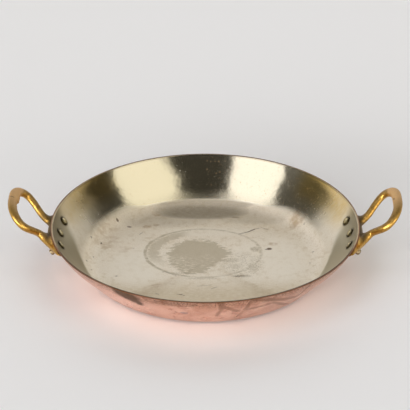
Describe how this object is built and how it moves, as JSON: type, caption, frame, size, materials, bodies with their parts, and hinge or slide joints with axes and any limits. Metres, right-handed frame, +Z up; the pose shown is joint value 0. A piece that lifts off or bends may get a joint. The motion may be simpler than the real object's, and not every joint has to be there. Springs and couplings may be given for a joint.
{
  "type": "copper two-handled pan",
  "caption": "Shallow round copper pan with a tinned inside, flared walls and two riveted cast brass ear handles that lean up and out.",
  "frame": {"origin": "centre of the flat base, on the surface that the pan stands on", "axes": "+Z up; +X through the right handle and -X through the left one; -Y towards the viewer"},
  "size_m": [0.3798, 0.2994, 0.0752],
  "materials": {
    "copper": "satin copper with brown and grey heat tarnish",
    "tin": "hot-wiped tin, bright on the walls and worn matte on the floor",
    "brass": "cast brass, polished on the bars, dark in the corners",
    "rivet": "tinned copper rivet, worn"
  },
  "bodies": {
    "root": {"copper_shell": "copper", "tin_lining": "tin", "right_handle": "brass", "left_handle": "brass", "right_rivet_front": "rivet", "right_rivet_middle": "rivet", "right_rivet_rear": "rivet", "left_rivet_front": "rivet", "left_rivet_middle": "rivet", "left_rivet_rear": "rivet"}
  },
  "joints": []
}
